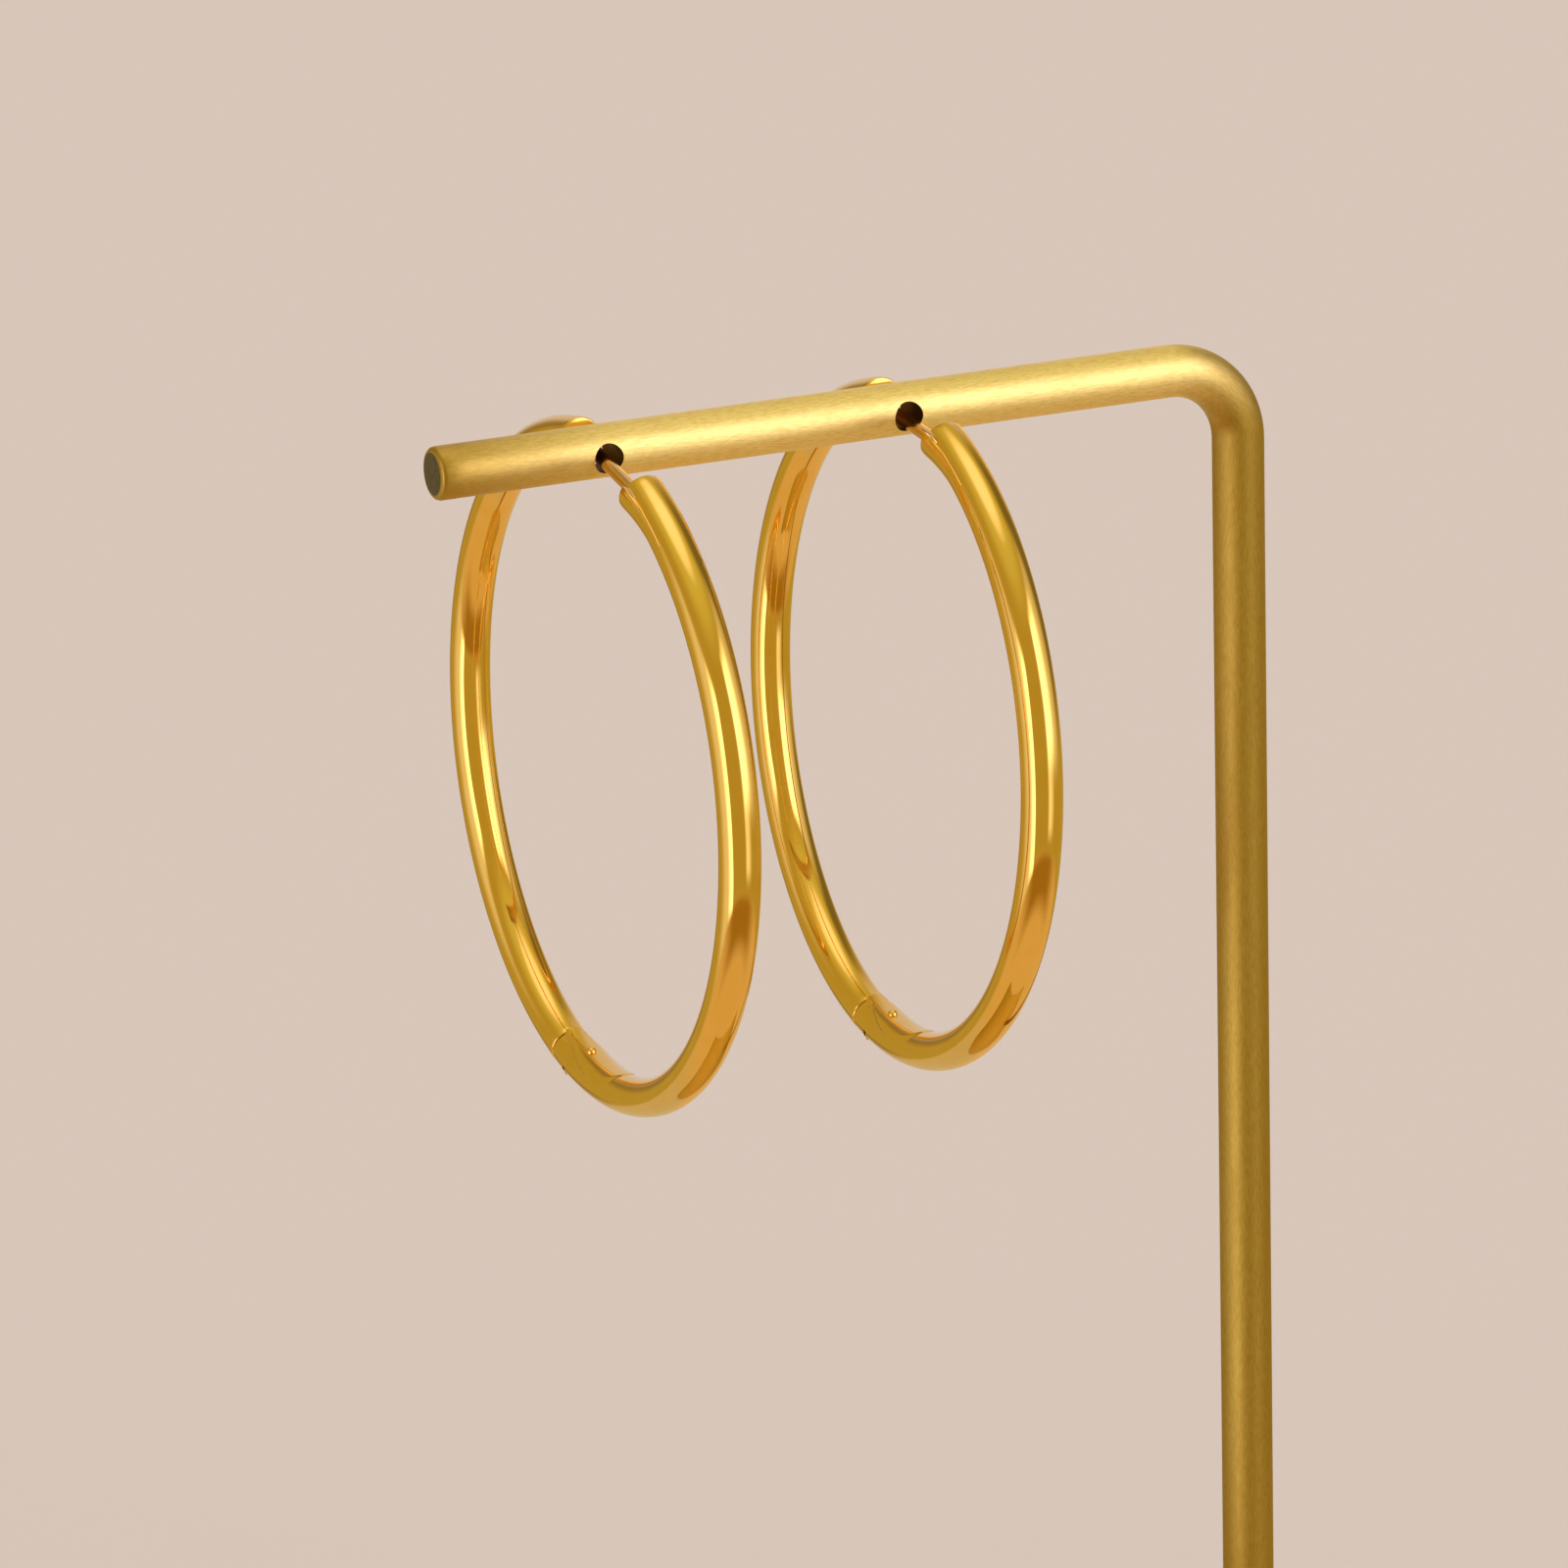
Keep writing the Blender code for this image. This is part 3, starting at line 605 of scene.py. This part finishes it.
for name, centre, swing, lean, yaw, root_side, tip_side in HOOPS:
    place = place_of(centre, swing, lean, yaw)
    joint = tube_frame(JOINT)
    back_body, front_body = "stand", "hoop_%s_front" % name
    # The back half: a tube with a soldered end cap behind the post.
    back = swept(TUBE_HALF_WIDTH, TUBE_HALF_DEPTH, BACK_END, JOINT + 360, BACK_ROUNDING)
    back = finished("hoop_%s_back_tube" % name, placed(back, place), back_body, "gold_plate",
                    "hoop_%s_back_half" % name)
    bore = swept(TUBE_HALF_WIDTH - TUBE_WALL, TUBE_HALF_DEPTH - TUBE_WALL, BACK_END + degrees_of(CAP_LENGTH),
                 JOINT + 360 + degrees_of(TUBE_WALL), sides=BORE_SIDES)
    carve(back, [placed(bore, place)])
    coat(back, gold)

    # The hinge tongue: a flat blade with a drilled round end, soldered into the back half.
    tongue = finished("hoop_%s_tongue" % name, placed(box_in(joint, *TONGUE), place), back_body, "gold_plate")
    carve(tongue, [placed(on_hinge(KNUCKLE_HALF, KNUCKLE_RADIUS, KNUCKLE_SIDES), place)], "UNION")
    carve(tongue, [placed(on_hinge(PIN_HOLE_HALF, PIN_HOLE_RADIUS, PIN_HOLE_SIDES), place)])
    coat(tongue, gold)

    # The ear post: straight wire soldered to the back half's end cap.
    root = on_hoop(BACK_END, POST_ROOT_RADIUS, root_side * MM)
    tip = on_hoop(POST_TIP_ANGLE, POST_TIP_RADIUS, tip_side * MM)
    post = finished("hoop_%s_post" % name, placed(bar(root, tip, POST_RADIUS), place), back_body, "gold_plate")
    coat(post, post_gold)

    # The front half: a tube open at both ends, raised and forked at the hinge, slit and spread at the catch.
    # A fine groove runs on from the slit, where the tube was rolled together.
    front = swept(TUBE_HALF_WIDTH, TUBE_HALF_DEPTH, JOINT + degrees_of(JOINT_GAP), FRONT_END, FRONT_ROUNDING,
                  fine_to=RIM_END + STEP)
    bore = swept(TUBE_HALF_WIDTH - TUBE_WALL, TUBE_HALF_DEPTH - TUBE_WALL, JOINT - degrees_of(TUBE_WALL),
                 FRONT_END + degrees_of(TUBE_WALL), sides=BORE_SIDES)
    for vert in front.verts:
        form_front(vert)
    front = finished("hoop_%s_front_tube" % name, placed(front, place), front_body, "gold_plate",
                     "hoop_%s_front_half" % name)
    slit_turn = math.radians(SLIT_TURN)
    slit = box_in(tube_frame(FRONT_END) @ Matrix.Rotation(slit_turn, 4, "X"), *SLIT)
    groove = swept(SEAM_RADIUS, SEAM_RADIUS, FRONT_END - degrees_of(SEAM_LENGTH), FRONT_END + STEP,
                   sides=GROOVE_SIDES, aside=(SEAM_OUT * TUBE_HALF_DEPTH * math.cos(slit_turn),
                                              SEAM_OUT * TUBE_HALF_WIDTH * math.sin(slit_turn)))
    pin_hole = on_hinge(PIN_HOLE_HALF, PIN_HOLE_RADIUS, PIN_HOLE_SIDES)
    carve(front, [placed(tool, place) for tool in (bore, box_in(joint, *SLOT), slit, groove, pin_hole)])

    # The bright low dome beside the hinge, brazed on.
    dome = bmesh.new()
    bmesh.ops.create_uvsphere(dome, u_segments=32, v_segments=16, radius=1)
    seat = tube_frame(DOME_ANGLE) @ Matrix.Rotation(math.radians(DOME_SIDE), 4, "X")
    seat = seat @ Matrix.Translation((0, TUBE_HALF_DEPTH + DOME_RISE, 0))
    bmesh.ops.transform(dome, verts=dome.verts, matrix=seat @ Matrix.Diagonal((*DOME_HALVES, 1)))
    carve(front, [placed(dome, place)], "UNION")
    coat(front, gold)

    # The hinge pin: wire cut flush with the fork.
    coat(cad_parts["hoop_%s_hinge_pin" % name], gold)
